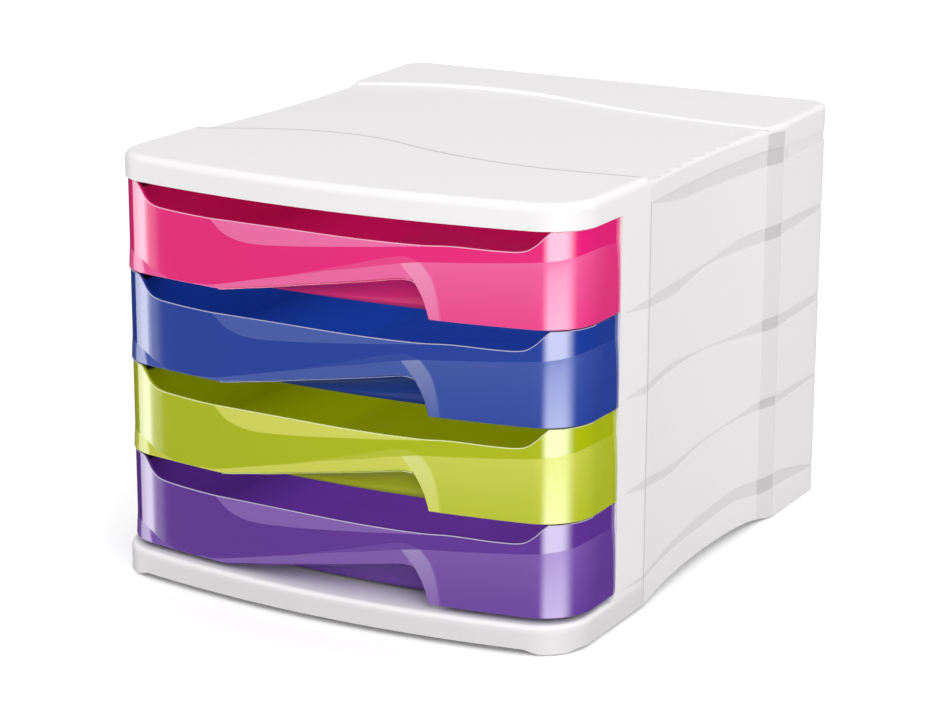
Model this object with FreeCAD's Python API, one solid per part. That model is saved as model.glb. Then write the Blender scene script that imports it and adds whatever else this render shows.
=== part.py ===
import FreeCAD, Part
import math
import os

# Plastic drawer tower with four drawers, in millimetres.
# X is to the right, the front looks along -Y, and Z is up.
# The origin lies on the floor, below the middle of the whole tower.

V = FreeCAD.Vector
AXIS_X = V(1, 0, 0)

# Overall sizes
width = 290.0
depth = 354.0
height = 242.0

# Plan of the front: a shallow bow between two round corners
front_step = 1.0
bow_radius = 634.0
corner_radius = 30.0
plinth_step = 4.0
return_length = 26.0
post_depth = 34.5
post_width = 7.7
header_depth = 9.0

# Plan of the casing behind the seam: waisted sides, then a wider rear band
waist = 5.0
waist_end = 2.5
waist_middle_share = 0.322
ramp_start_share = 0.651
ramp_length = 16.0
rear_corner_radius = 12.0
rear_return = 4.0

# Walls, seams and running gaps
wall = 2.6
front_wall = 2.4
tray_wall = 2.0
seam_gap = 0.3
running_gap = 0.4
overrun = 10.0

# Heights and edge roundings
drawer_count = 4
visor_height = 14.2
drawer_gap = 0.8
ledge_z = 16.2
sill_gap = 2.6
rear_rise = 1.0
roof_sink = 2.4
rear_roof_step = 1.4
tongue = 1.0
visor_round = 4.5
roof_round = 3.0
plinth_round = 2.7

# Feet: four corners of the skirt come down, the stretches between are lifted
foot_lift = 0.5
plinth_lift = 3.0
side_lift = 1.5
arch_rise = 5.5
front_foot_reach = 13.5
front_foot_slope = 8.0
side_foot_setback = 20.0
side_foot_slope = 5.0
rear_foot_slope = 30.0
rear_heel = 10.0
sole = 2.5
sole_length = 44.0
sole_width = 24.0
sole_margin = 3.0
pad_half = 8.0
pad_corner = 2.5
pad_thickness = 2.0
pad_gap = 0.2
pad_inset = 14.0

# Drawer fronts
front_inset = 1.3
pad_rise = 1.0
facet_sink = 0.8
niche_wall = 2.0
niche_depth = 19.5
heel_radius = 7.0
clip_length = 30.0
clip_wall = 2.0
clip_below_rim = 8.0

# Trays and runner racks
rack_room = 8.0
rack_plate = 2.0
rack_setback = 2.0
rack_rear_room = 6.0
rack_top_room = 1.0
runner_width = 5.8
runner_thickness = 2.0
channel_room = 0.5
tray_side_room = 7.0
rim_thickness = 2.0
rim_below_top = 5.0
tray_lift = 1.0
tray_round = 5.0
tray_rear_room = 10.0
stop_reach = 5.0
stop_depth = 3.0
stop_height = 12.0
stop_setback = 2.0

half_rear = width / 2
half_front = half_rear - front_step
crown_y = -depth / 2 + plinth_step
back_y = depth / 2
corner_x = half_front - corner_radius
bow_y = crown_y + bow_radius
corner_y = bow_y - math.sqrt((bow_radius - corner_radius) ** 2 - corner_x ** 2)
post_y = corner_y + return_length
seam_y = post_y + post_depth
side_length = back_y - seam_y
ramp_y = seam_y + ramp_start_share * side_length
band_y = ramp_y + ramp_length
front_roof = height - rear_rise
stack_top = front_roof - visor_height
drawer_pitch = (stack_top - ledge_z - sill_gap) / drawer_count
front_height = drawer_pitch - drawer_gap
mid_roof = front_roof - roof_sink
post_inner = half_front - post_width
return_x = half_rear - rear_corner_radius - rear_return
tray_back = back_y - tray_rear_room
rack_front = post_y + rack_setback
rack_outer = half_front - rack_room
rack_inner = rack_outer - rack_plate
tray_half = rack_inner - tray_side_room
rim_half = rack_inner - channel_room
stop_x = tray_half + stop_reach


def box(x0, x1, y0, y1, z0, z1):
    return Part.makeBox(x1 - x0, y1 - y0, z1 - z0, V(x0, y0, z0))


def mirrored(shape):
    return shape.mirror(V(0, 0, 0), AXIS_X)


def both_sides(shape):
    return shape.fuse(mirrored(shape))


def line(a, b):
    return Part.LineSegment(a, b).toShape()


def arc(a, b, c):
    return Part.Arc(a, b, c).toShape()


def curve(points):
    if len(points) == 2:
        return line(points[0], points[1])
    spline = Part.BSplineCurve()
    spline.interpolate(points)
    return spline.toShape()


# A face inside curves given in order; straight lines join their ends
def outline(curves):
    edges = []
    for here, after in zip(curves, curves[1:] + curves[:1]):
        edges.append(curve(here))
        if here[-1].distanceToPoint(after[0]) > seam_gap:
            edges.append(line(here[-1], after[0]))
    return Part.Face(Part.Wire(edges))


# The bowed plan, drawn in by an inset and pushed forwards by a step
def bow_face(inset, forward, rear_y, z):
    half = half_front - inset
    small = corner_radius - inset
    reach = bow_radius - corner_radius
    ux, uy = corner_x / reach, (corner_y - bow_y) / reach
    turn = math.atan2(uy, ux) / 2
    cy = corner_y - forward
    start = V(half, rear_y, z)
    side = V(half, cy, z)
    bend = V(corner_x + small * math.cos(turn), cy + small * math.sin(turn), z)
    join = V(corner_x + small * ux, cy + small * uy, z)
    crown = V(0, bow_y - forward - bow_radius + inset, z)
    left_start, left_side, left_bend, left_join = [
        V(-p.x, p.y, z) for p in (start, side, bend, join)
    ]
    return Part.Face(Part.Wire([
        line(start, side),
        arc(side, bend, join),
        arc(join, crown, left_join),
        arc(left_join, left_bend, left_side),
        line(left_side, left_start),
        line(left_start, start),
    ]))


def bow_block(inset, forward, rear_y, z0, z1):
    return bow_face(inset, forward, rear_y, z0).extrude(V(0, 0, z1 - z0))


# The plan behind the seam: waisted side, ramp, rear band and rear corner
def casing_face(inset, z):
    x_front = half_front - inset
    x_rear = half_rear - inset
    cx, cy = half_rear - rear_corner_radius, back_y - rear_corner_radius
    radius = rear_corner_radius - inset
    turn = radius * math.sqrt(0.5)
    right = [
        V(x_front, seam_y, z),
        V(x_front - waist, seam_y + waist_middle_share * side_length, z),
        V(x_front - waist_end, ramp_y, z),
        V(x_rear, band_y, z),
        V(x_rear, cy, z),
        V(cx + turn, cy + turn, z),
        V(cx, back_y - inset, z),
    ]
    edges = []
    for side in (right, [V(-p.x, p.y, z) for p in right]):
        edges.append(arc(side[0], side[1], side[2]))
        edges.append(line(side[2], side[3]))
        edges.append(line(side[3], side[4]))
        edges.append(arc(side[4], side[5], side[6]))
    left = [V(-p.x, p.y, z) for p in right]
    edges.append(line(right[6], left[6]))
    edges.append(line(left[0], right[0]))
    return Part.Face(Part.Wire(Part.__sortEdges__(edges)))


def casing_block(inset, z0, z1):
    return casing_face(inset, z0).extrude(V(0, 0, z1 - z0))


# A block with its upper outer edges rounded, apart from those at the seam
def round_top(block, radius, z):
    edges = []
    for edge in block.Edges:
        points = [v.Point for v in edge.Vertexes]
        on_top = all(abs(p.z - z) < seam_gap for p in points)
        at_seam = all(abs(p.y - seam_y) < seam_gap for p in points)
        if on_top and not at_seam:
            edges.append(edge)
    return block.makeFillet(radius, edges)


# Side ribbons: a shallow sunk wave at each line between two drawers, from the
# seam to the rear corner. Places are shares of the side's length, heights are
# shares of the drawer pitch above that line.
ribbon_place_shares = (0.0, 0.175, 0.36, 0.54, 0.74, 0.945)
ribbon_top_shares = (
    (0.00, 0.01, 0.03, 0.12, 0.13, 0.13),
    (0.10, 0.12, 0.085, 0.04, 0.06, 0.065),
    (0.07, 0.01, 0.045, 0.06, 0.105, 0.09),
    (0.01, 0.09, 0.16, 0.20, 0.15, -0.02),
)
ribbon_low_shares = (
    (-0.10, -0.135, -0.015, -0.02, -0.02, 0.05),
    (-0.01, 0.05, 0.045, -0.03, -0.08, -0.035),
    (-0.04, -0.11, 0.0, 0.01, 0.0, 0.04),
    (-0.06, -0.01, 0.02, 0.05, -0.01, -0.075),
)
skirt_wave_shares = (-0.02, -0.15, -0.17, -0.18, -0.18, -0.14)
ribbon_sink = 0.8


def ribbon_line(base_z, shares):
    return [
        V(0, seam_y + place * side_length, base_z + share * drawer_pitch)
        for place, share in zip(ribbon_place_shares, shares)
    ]


def side_prism(face):
    return both_sides(face.extrude(V(half_rear + overrun, 0, 0)))


def ribbon_prisms():
    prisms = []
    for i in range(drawer_count):
        row = i % len(ribbon_top_shares)
        base_z = stack_top - (i + 1) * drawer_pitch
        top = ribbon_line(base_z, ribbon_top_shares[row])
        low = ribbon_line(base_z, ribbon_low_shares[row])
        prisms.append(side_prism(outline([top, low[::-1]])))
    wave = ribbon_line(stack_top, skirt_wave_shares)
    above = [V(0, p.y, stack_top + seam_gap) for p in (wave[0], wave[-1])]
    prisms.append(side_prism(outline([above, wave[::-1]])))
    return prisms


# The underside as seen from the side: lifted, arched, then down to the heel
def side_underside():
    foot_y = band_y
    heel_y = back_y - rear_heel
    arch_shares = ((0.0, 0.0), (0.3, 0.75), (0.68, 1.0), (1.0, 0.7))
    reach = foot_y - rear_foot_slope - seam_y
    rise = arch_rise - side_lift
    arch = [V(0, seam_y + y * reach, side_lift + z * rise) for y, z in arch_shares]
    down = [arch[-1], V(0, foot_y, foot_lift)]
    heel_middle = V(0, back_y - rear_heel * (1 - math.sqrt(0.5)), 0)
    heel_middle.z = foot_lift + rear_heel * (1 - math.sqrt(0.5))
    heel = [V(0, heel_y, foot_lift), heel_middle, V(0, back_y, foot_lift + rear_heel)]
    edges = [
        curve(arch),
        line(down[0], down[1]),
        line(down[1], heel[0]),
        arc(heel[0], heel[1], heel[2]),
        line(heel[2], V(0, back_y + overrun, heel[2].z)),
        line(V(0, back_y + overrun, heel[2].z), V(0, back_y + overrun, -overrun)),
        line(V(0, back_y + overrun, -overrun), V(0, seam_y - overrun, -overrun)),
        line(V(0, seam_y - overrun, -overrun), V(0, seam_y - overrun, side_lift)),
        line(V(0, seam_y - overrun, side_lift), arch[0]),
    ]
    return side_prism(Part.Face(Part.Wire(edges)))


# Square pads of soft plastic, one in a shallow seat under each foot
pad_places = {
    "front_right_foot_pad": V(corner_x, corner_y - pad_inset, 0),
    "front_left_foot_pad": V(-corner_x, corner_y - pad_inset, 0),
    "rear_right_foot_pad": V(half_rear - pad_inset, band_y + sole_length / 2, 0),
    "rear_left_foot_pad": V(pad_inset - half_rear, band_y + sole_length / 2, 0),
}


def foot_pad(place, grow=0.0):
    half, cut = pad_half + grow, pad_half - pad_corner
    corners = [(half, -cut), (half, cut), (cut, half), (-cut, half)]
    corners += [(-x, -y) for x, y in corners]
    points = [place + V(x, y, 0) for x, y in corners]
    return Part.Face(Part.makePolygon(points + points[:1])).extrude(V(0, 0, pad_thickness))


def pad_seats():
    return [foot_pad(place, pad_gap) for place in pad_places.values()]


# Front frame: visor, two posts and plinth, moulded in one with the skirt
visor_rear_shares = (
    (1.0, -0.08), (0.62, -0.24), (0.29, -0.13), (-0.07, 0.33),
    (-0.42, 0.64), (-0.7, 0.36), (-0.8, 0.17), (-0.935, -0.12), (-1.0, -0.15),
)


# The wave of the visor's rear edge: straight ends and three arcs between them
def visor_rear_line(z):
    points = [V(x * half_front, seam_y + y * post_depth, z) for x, y in visor_rear_shares]
    edges = [line(points[0], points[1])]
    for start in (1, 3, 5):
        edges.append(arc(*points[start:start + 3]))
    edges.append(line(points[7], points[8]))
    return edges, points


# The space behind that wave, from a height upwards
def behind_visor(z):
    wave, points = visor_rear_line(z)
    side, far = half_rear + overrun, back_y
    rest = [points[-1], V(-side, points[-1].y, z), V(-side, far, z)]
    rest += [V(side, far, z), V(side, points[0].y, z), points[0]]
    wave += [line(a, b) for a, b in zip(rest, rest[1:])]
    return Part.Face(Part.Wire(wave)).extrude(V(0, 0, roof_sink + overrun))


# Where that wave runs before the seam, the roof reaches up to it on a thin tongue
def tongue_space(grow):
    half = half_front - roof_round + grow
    reach = box(-half, half, seam_y - post_depth, seam_y + seam_gap, mid_roof - tongue - grow, mid_roof)
    return reach.common(behind_visor(mid_roof - tongue - grow))


def visor():
    reach = seam_y + post_depth
    block = bow_block(0, 0, reach, stack_top, front_roof)
    block = round_top(block, visor_round, front_roof)
    hollow = bow_block(front_wall, 0, seam_y - header_depth, stack_top, front_roof - front_wall)
    header = bow_block(front_wall, 0, seam_y - front_wall, stack_top, mid_roof - front_wall)
    under = box(-width, width, seam_y, reach + overrun, 0, mid_roof)
    return block.cut([hollow, header, behind_visor(mid_roof), tongue_space(seam_gap), under])


# The sole over a front pad hangs on a rib and is joined to the corner of the skirt
def front_soles():
    place = pad_places["front_right_foot_pad"]
    edge = pad_half + sole_margin
    top = foot_lift + sole
    plate = box(place.x - edge, place.x + edge, place.y - edge, place.y + edge, foot_lift, top)
    bridge = box(place.x, half_front, place.y - edge, corner_y - side_foot_setback, foot_lift, top)
    bridge = bridge.common(bow_block(front_wall / 2, plinth_step, seam_y, foot_lift, top))
    rib = box(place.x - front_wall / 2, place.x + front_wall / 2, place.y - edge, place.y + edge,
              top, ledge_z - front_wall)
    return both_sides(plate.fuse([bridge, rib]))


def plinth():
    block = bow_block(0, plinth_step, seam_y, foot_lift, ledge_z)
    block = round_top(block, plinth_round, ledge_z)
    hollow = bow_block(front_wall, plinth_step, seam_y - front_wall, 0, ledge_z - front_wall)
    return block.cut([hollow] + front_underside()).fuse(front_soles())


# The skirt between the front feet, and along the sides behind them
def front_underside():
    low, high = foot_lift, plinth_lift
    outer = corner_x + front_foot_reach
    inner = outer - front_foot_slope
    span = [V(outer, 0, low), V(inner, 0, high), V(-inner, 0, high), V(-outer, 0, low)]
    deep = [V(-outer, 0, -overrun), V(outer, 0, -overrun)]
    middle = Part.Face(Part.makePolygon(span + deep + span[:1]))
    middle.translate(V(0, crown_y - overrun, 0))
    middle = middle.extrude(V(0, corner_radius + overrun, 0))
    foot_end = corner_y - side_foot_setback
    slope_end = foot_end + side_foot_slope
    side = Part.Face(Part.makePolygon([
        V(0, foot_end, low), V(0, slope_end, side_lift), V(0, seam_y + overrun, side_lift),
        V(0, seam_y + overrun, -overrun), V(0, foot_end, -overrun), V(0, foot_end, low),
    ]))
    return [middle, side_prism(side)]


def front_frame():
    post = box(post_inner, half_front, post_y, seam_y, ledge_z - front_wall, stack_top + front_wall)
    frame = visor().fuse([plinth(), both_sides(post)])
    # A small web rounds the corner where each post meets the plinth
    web = box(post_inner, half_front, post_y - heel_radius, post_y, ledge_z, ledge_z + heel_radius)
    centre = V(post_inner, post_y - heel_radius, ledge_z + heel_radius)
    rod = Part.makeCylinder(heel_radius, post_width, centre, AXIS_X)
    frame = frame.fuse(both_sides(web.cut(rod)))
    return frame.cut(pad_seats()).removeSplitter()


# Top cover: a lid with a skirt, its rear band raised behind a step of two arcs,
# whose points are shares of the width and of the side's length behind the seam
step_shares = ((-0.56, 0.62), (-0.28, 0.774), (0.0, 0.751), (0.24, 0.68), (0.56, 0.655))


def top_cover():
    front = casing_block(0, stack_top, mid_roof)
    front = round_top(front, roof_round, mid_roof)
    rear = round_top(casing_block(0, stack_top, height), roof_round, height)
    slope = math.degrees(math.atan2(height - mid_roof - rear_roof_step, back_y - band_y))
    rear.rotate(V(0, back_y, height), AXIS_X, slope)
    step = [V(x * width, seam_y + y * side_length, stack_top) for x, y in step_shares]
    far = [V(end.x, back_y + overrun, stack_top) for end in (step[-1], step[0])]
    band = Part.Face(Part.Wire([
        arc(*step[:3]), arc(*step[2:]), line(step[-1], far[0]), line(far[0], far[1]), line(far[1], step[0]),
    ]))
    band = band.extrude(V(0, 0, height - stack_top + overrun))
    cover = front.fuse(rear.common(band).common(casing_block(0, stack_top, height)))
    hollow = casing_block(wall, stack_top - overrun, mid_roof - wall)
    front_gap = box(-width, width, seam_y - overrun, seam_y + seam_gap, stack_top - overrun, height)
    roof_tongue = tongue_space(0).translated(V(0, seam_gap, 0)).cut(hollow)
    return cover.cut([hollow, front_gap]).removeSplitter().fuse(roof_tongue)


# Side panels: waisted walls that turn the rear corners, with a foot behind
def side_panels():
    shell = casing_block(0, 0, stack_top).cut(casing_block(wall, -overrun, stack_top + overrun))
    back_opening = box(-return_x, return_x, back_y - rear_corner_radius, back_y + overrun, -overrun, height)
    front_opening = box(-width, width, seam_y - overrun, seam_y + seam_gap, -overrun, height)
    middle = box(-waist, waist, seam_y - overrun, back_y + overrun, -overrun, height)
    core = casing_block(ribbon_sink, -overrun, height)
    ribbons = [p.cut(core) for p in ribbon_prisms()]
    inner_face = half_rear - wall
    foot = box(inner_face - sole_width, inner_face + wall / 2, band_y, band_y + sole_length,
               foot_lift, foot_lift + sole)
    shell = shell.cut([back_opening, front_opening, middle, side_underside()])
    shell = shell.fuse(both_sides(foot)).cut(ribbons + pad_seats()).removeSplitter()
    right, left = sorted(shell.Solids, key=lambda solid: -solid.CenterOfMass.x)
    return right, left


def back_panel():
    edge = return_x - seam_gap
    plate = box(-edge, edge, back_y - wall, back_y, foot_lift + rear_heel, stack_top)
    return plate


# Base panel between the side panels, level with the ledge of the plinth
def base_panel():
    plate = casing_block(wall + seam_gap, ledge_z - wall, ledge_z)
    return plate.cut(box(-width, width, seam_y - overrun, seam_y + seam_gap, 0, height))


# Runner rack: one plate a side, with two runners that hold each tray's rim
def drawer_top(i):
    return stack_top - drawer_gap / 2 - i * drawer_pitch


def rim_top(i):
    return drawer_top(i) - rim_below_top


def runner_rack():
    rear = back_y - rack_rear_room
    inner = rack_inner - runner_width
    parts = []
    for i in range(drawer_count):
        low = rim_top(i) - rim_thickness - running_gap
        high = rim_top(i) + channel_room
        for z in (low - runner_thickness, high):
            parts.append(box(inner, rack_inner, rack_front, rear, z, z + runner_thickness))
        top = low - runner_thickness
        parts.append(box(inner, rack_inner, rack_front, rack_front + stop_depth, top - stop_height, top))
    plate = box(rack_inner, rack_outer, rack_front, rear, ledge_z, stack_top - rack_top_room)
    return plate.fuse(parts).removeSplitter()


# Tray of a drawer: open box with a rim along each side and a stop lug behind
tray_front_inset = front_inset + front_wall + running_gap / 2


def round_rear_corners(block, radius):
    rear = block.BoundBox.YMax
    edges = []
    for edge in block.Edges:
        a, b = [v.Point for v in edge.Vertexes]
        if min(a.y, b.y) > rear - seam_gap and abs(a.x - b.x) < seam_gap:
            edges.append(edge)
    return block.makeFillet(radius, edges)


def tray():
    top = rim_top(0)
    floor = drawer_top(0) - front_height + tray_lift
    block = box(-tray_half, tray_half, crown_y, tray_back, floor, top)
    block = round_rear_corners(block, tray_round)
    inner_half = tray_half - tray_wall
    inner_back = tray_back - tray_wall
    hollow = box(-inner_half, inner_half, crown_y - overrun, inner_back, floor + tray_wall, top + overrun)
    hollow = round_rear_corners(hollow, tray_round - tray_wall)
    rim = box(inner_half, rim_half, rack_front, tray_back - tray_round, top - rim_thickness, top)
    lug_top = top - rim_thickness - running_gap - runner_thickness - running_gap
    lug_back = tray_back - tray_round - stop_setback
    lug = box(inner_half, stop_x, lug_back - stop_depth, lug_back, lug_top - stop_height, lug_top)
    shape = block.cut(hollow).fuse([both_sides(rim), both_sides(lug)])
    shape = shape.common(bow_block(tray_front_inset, 0, back_y, floor, top))
    return shape.cut(niche_clearance()).removeSplitter()


# Drawer front: a bowed shell with a wavy cut-out at its upper edge, sloping
# facets, and a finger arch over a scooped niche. Its points are shares of the
# front's half width, and of its height below its upper edge.
lip_left_shares = ((-0.86, 0.04), (-0.84, -0.07), (-0.79, -0.19), (-0.72, -0.236), (-0.62, -0.25))
lip_long_shares = ((-0.62, -0.25), (-0.16, -0.24), (0.4, -0.235), (0.73, -0.22))
lip_right_shares = ((0.73, -0.22), (0.81, -0.2), (0.855, -0.13), (0.885, -0.03), (0.9, 0.04))
lens_low_shares = ((0.42, -0.22), (0.16, -0.325), (-0.16, -0.42), (-0.33, -0.445), (-0.49, -0.24))
lens_top_shares = ((-0.49, -0.15), (0.42, -0.15))
right_crease_shares = ((0.43, -0.43), (0.72, -0.34), (0.92, -0.285), (1.04, -0.24))
right_stripe_shares = ((0.53, -1.04), (0.495, -0.745), (0.47, -0.56), (0.43, -0.43))
left_crease_shares = ((-1.04, -0.755), (-0.94, -0.77), (-0.86, -0.825), (-0.74, -1.0))
bevel_shares = (
    (-0.52, -1.04), (-0.255, -0.8), (-0.015, -0.655), (0.21, -0.53), (0.36, -0.455), (0.43, -0.43),
)
arch_shares = ((-0.43, 0.03), (0.35, 0.38), (0.41, 0.36), (0.432, 0.29), (0.475, 0), (-0.43, 0))


def front_prism(*share_lists):
    y = crown_y - overrun
    curves = []
    for shares in share_lists:
        curves.append([V(x * half_front, y, drawer_top(0) + z * front_height) for x, z in shares])
    return outline(curves).extrude(V(0, post_y + overrun - y, 0))


# The arch and its niche: the arch's outline runs straight back to a scooped
# wall, which is part of a cylinder about the lower edge of the front
def arch_face(grow):
    slant = grow * math.sqrt(0.5)
    moves = ((-grow, grow), (0, grow), (slant, slant), (grow, 0), (grow, 0), (-grow, 0))
    points = [
        V(x * half_front + dx, 0, z * front_height + dz) for (x, z), (dx, dz) in zip(arch_shares, moves)
    ]
    return Part.Face(Part.makePolygon(points + points[:1]))


def at_arch(shape):
    return shape.translated(V(0, crown_y + front_inset, drawer_top(0) - front_height))


def arch_opening():
    through = arch_face(0).extrude(V(0, front_wall + overrun, 0))
    return at_arch(through).translated(V(0, -overrun / 2, -seam_gap))


def niche_space(grow):
    reach = niche_depth + grow
    scoop = Part.makeCylinder(reach, width, V(-half_rear, 0, 0), AXIS_X)
    return at_arch(arch_face(grow).extrude(V(0, reach, 0)).common(scoop))


# The tray's floor is cut out round the niche
def niche_clearance():
    grow = niche_wall + running_gap / 2
    left, right = arch_shares[0][0] * half_front - grow, arch_shares[-2][0] * half_front + grow
    return at_arch(box(left, right, 0, niche_depth + grow, 0, tray_lift + tray_wall + overrun))


def niche_cup():
    low = drawer_top(0) - front_height
    inside = bow_block(front_inset + front_wall / 2, 0, post_y, low, drawer_top(0))
    return niche_space(niche_wall).cut(niche_space(0)).common(inside)


def drawer_front():
    top = drawer_top(0)
    low = top - front_height
    rear = post_y - running_gap
    hollow = bow_block(front_inset + front_wall, 0, post_y + overrun, low - overrun, top + overrun)
    shell = bow_block(front_inset, 0, rear, low, top).cut(hollow)
    # The facets around the lip and the arch are sunk, the lower sides stand out
    beyond = bow_block(-overrun, 0, post_y + overrun, low - overrun, top + overrun)
    sunk = beyond.cut(bow_block(front_inset + facet_sink, 0, post_y + overrun, low - overrun, top + overrun))
    lens = front_prism(lens_low_shares, lens_top_shares)
    bevel = front_prism(bevel_shares, right_stripe_shares[::-1])
    shell = shell.cut([sunk.common(lens), sunk.common(bevel)])
    proud = bow_block(front_inset - pad_rise, 0, rear, low, top).cut(hollow)
    outer_end = ((1.04, -0.24), (1.04, -1.04))
    right_pad = front_prism(right_crease_shares, outer_end, right_stripe_shares)
    left_pad = front_prism(left_crease_shares, ((-0.74, -1.04), (-1.04, -1.04)))
    shell = shell.fuse([proud.common(right_pad), proud.common(left_pad)])
    clip_top = rim_top(0) - clip_below_rim
    clip_back = post_y - clip_length / 2
    clip = box(tray_half, tray_half + clip_wall, crown_y, clip_back, low + tray_lift, clip_top)
    clip = clip.common(bow_block(front_inset + front_wall / 2, 0, post_y, low, top))
    lip = front_prism(lip_left_shares, lip_long_shares, lip_right_shares)
    shell = shell.cut([lip, arch_opening()]).fuse([niche_cup(), both_sides(clip)])
    return shell.removeSplitter()


# The lowest front is rounded behind, where its sides meet the web of the post
def round_heel(front):
    low = drawer_top(0) - front_height
    rear = post_y - running_gap
    heel = box(-width, width, rear - heel_radius, rear + overrun, low - overrun, low + heel_radius)
    centre = V(-width, rear - heel_radius, low + heel_radius)
    rod = Part.makeCylinder(heel_radius, 2 * width, centre, AXIS_X)
    return front.cut(heel.cut(rod))


def export(name, shape):
    shape.exportStep(os.path.join("parts", name + ".step"))


os.makedirs("parts", exist_ok=True)
export("front_frame", front_frame())
export("top_cover", top_cover())
right_panel, left_panel = side_panels()
export("right_side_panel", right_panel)
export("left_side_panel", left_panel)
export("back_panel", back_panel())
export("base_panel", base_panel())
rack = runner_rack()
export("right_runner_rack", rack)
export("left_runner_rack", mirrored(rack))
first_tray, first_front = tray(), drawer_front()
for number in range(drawer_count):
    drop = V(0, 0, -number * drawer_pitch)
    front = first_front if number < drawer_count - 1 else round_heel(first_front)
    export("drawer_%d_tray" % (number + 1), first_tray.translated(drop))
    export("drawer_%d_front" % (number + 1), front.translated(drop))
for name, place in pad_places.items():
    export(name, foot_pad(place))
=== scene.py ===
import math

import bmesh
import bpy
from mathutils import Matrix, Vector


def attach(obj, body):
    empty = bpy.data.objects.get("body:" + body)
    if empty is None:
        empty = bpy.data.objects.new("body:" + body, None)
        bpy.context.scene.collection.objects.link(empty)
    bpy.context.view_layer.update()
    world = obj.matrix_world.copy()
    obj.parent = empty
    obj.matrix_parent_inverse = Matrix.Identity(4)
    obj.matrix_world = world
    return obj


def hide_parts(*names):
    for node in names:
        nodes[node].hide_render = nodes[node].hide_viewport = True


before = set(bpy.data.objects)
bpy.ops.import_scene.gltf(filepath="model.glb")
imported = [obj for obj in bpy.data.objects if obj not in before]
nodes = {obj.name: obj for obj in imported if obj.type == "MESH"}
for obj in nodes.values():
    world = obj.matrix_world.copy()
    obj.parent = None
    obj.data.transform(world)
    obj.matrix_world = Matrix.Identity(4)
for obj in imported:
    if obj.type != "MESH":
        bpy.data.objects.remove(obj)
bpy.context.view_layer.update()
mm = 0.001

# Casing: front frame with its visor, roof, side walls, back and base. All are moulded in
# white ABS, which comes out of the tool with a low, even gloss from the spark-eroded steel
# and clips together, so nothing but the seams shows.
# The casing's white, a tone for its flow marks, and the grey in which shade is painted on it
abs_white, abs_shade, painted_shade_grey = "#E9E7E8", "#E7E5E6", "#C6C3C5"
flow_mark = 60 * mm
# How grey the plinth's painted shade is, the height it reaches, and over how much it fades out below that
plinth_painted_shade, plinth_painted_shade_top, plinth_painted_shade_fade = 0.45, 15.5 * mm, 4 * mm


def linear(code):
    """An sRGB hex colour as linear RGBA."""
    parts = [int(code[i:i + 2], 16) / 255 for i in (1, 3, 5)]
    return [c / 12.92 if c <= 0.04045 else ((c + 0.055) / 1.055) ** 2.4 for c in parts] + [1]


def add(tree, kind, inputs=None, **settings):
    """Adds a node with its settings, and links or sets its inputs."""
    node = tree.nodes.new(kind)
    for name, value in settings.items():
        setattr(node, name, value)
    for name, value in (inputs or {}).items():
        if isinstance(value, bpy.types.NodeSocket):
            tree.links.new(value, node.inputs[name])
        else:
            node.inputs[name].default_value = value
    return node


def new_material(name):
    material = bpy.data.materials.new(name)
    material.use_nodes = True
    material.node_tree.nodes.clear()
    return material, material.node_tree


def dress(obj, material):
    obj.data.materials.clear()
    obj.data.materials.append(material)


def moulded_plastic(name, colour, shade, rough, grain_mm, grain_depth, specular, painted_shade_below=None):
    """Opaque moulded plastic: faint flow marks in colour and gloss, and a fine grain.

    An attribute, 0 to 1, says where shade is painted on, in a greyer colour. Where a
    height is given instead, what lies under it is painted with shade."""
    material, tree = new_material(name)
    place = add(tree, "ShaderNodeTexCoord").outputs["Object"]
    if painted_shade_below is None:
        painted_shade_share = add(tree, "ShaderNodeAttribute", attribute_name="satin_and_painted_light").outputs["Fac"]
    else:
        height = add(tree, "ShaderNodeSeparateXYZ", {"Vector": place}).outputs["Z"]
        painted_shade_share = add(tree, "ShaderNodeMapRange", {
            "Value": height, "From Min": painted_shade_below - plinth_painted_shade_fade, "From Max": painted_shade_below,
            "To Min": plinth_painted_shade, "To Max": 0.0}).outputs["Result"]
    # Flow marks are soft clouds
    flow = add(tree, "ShaderNodeTexNoise", {"Vector": place, "Scale": 1 / flow_mark, "Detail": 2.0})
    grain_scale = 1 / (grain_mm * mm)
    grain = add(tree, "ShaderNodeTexNoise", {"Vector": place, "Scale": grain_scale, "Detail": 1.0})
    tone = add(tree, "ShaderNodeMix", {
        "Factor": flow.outputs["Fac"], "A": linear(colour), "B": linear(shade)}, data_type="RGBA")
    tone = add(tree, "ShaderNodeMix", {
        "Factor": painted_shade_share, "A": tone.outputs["Result"], "B": linear(painted_shade_grey)}, data_type="RGBA")
    sheen = add(tree, "ShaderNodeMapRange", {
        "Value": flow.outputs["Fac"], "To Min": rough * 0.9, "To Max": rough * 1.1})
    bump = add(tree, "ShaderNodeBump", {
        "Height": grain.outputs["Fac"], "Strength": 0.6, "Distance": grain_depth * mm})
    shader = add(tree, "ShaderNodeBsdfPrincipled", {
        "Base Color": tone.outputs["Result"], "Roughness": sheen.outputs["Result"],
        "Normal": bump.outputs["Normal"], "Specular IOR Level": specular})
    add(tree, "ShaderNodeOutputMaterial", {"Surface": shader.outputs["BSDF"]})
    return material


# White ABS looks even and soft, with hardly a mirror image in it. The tool's grain is
# about 0.05 mm, too fine to show, so it is drawn at 0.6 mm.
abs_finish = {"rough": 0.36, "grain_mm": 0.6, "grain_depth": 0.01, "specular": 0.08}
white_abs = moulded_plastic("white_abs_low_gloss", abs_white, abs_shade, **abs_finish)
for name in ("top_cover", "back_panel", "base_panel"):
    dress(nodes[name], white_abs)
# Shade is painted on the plinth's face up to its ledge, so that it looks greyer than the visor
white_abs_front = moulded_plastic(
    "white_abs_front", abs_white, abs_shade, **abs_finish, painted_shade_below=plinth_painted_shade_top)
dress(nodes["front_frame"], white_abs_front)
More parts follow.
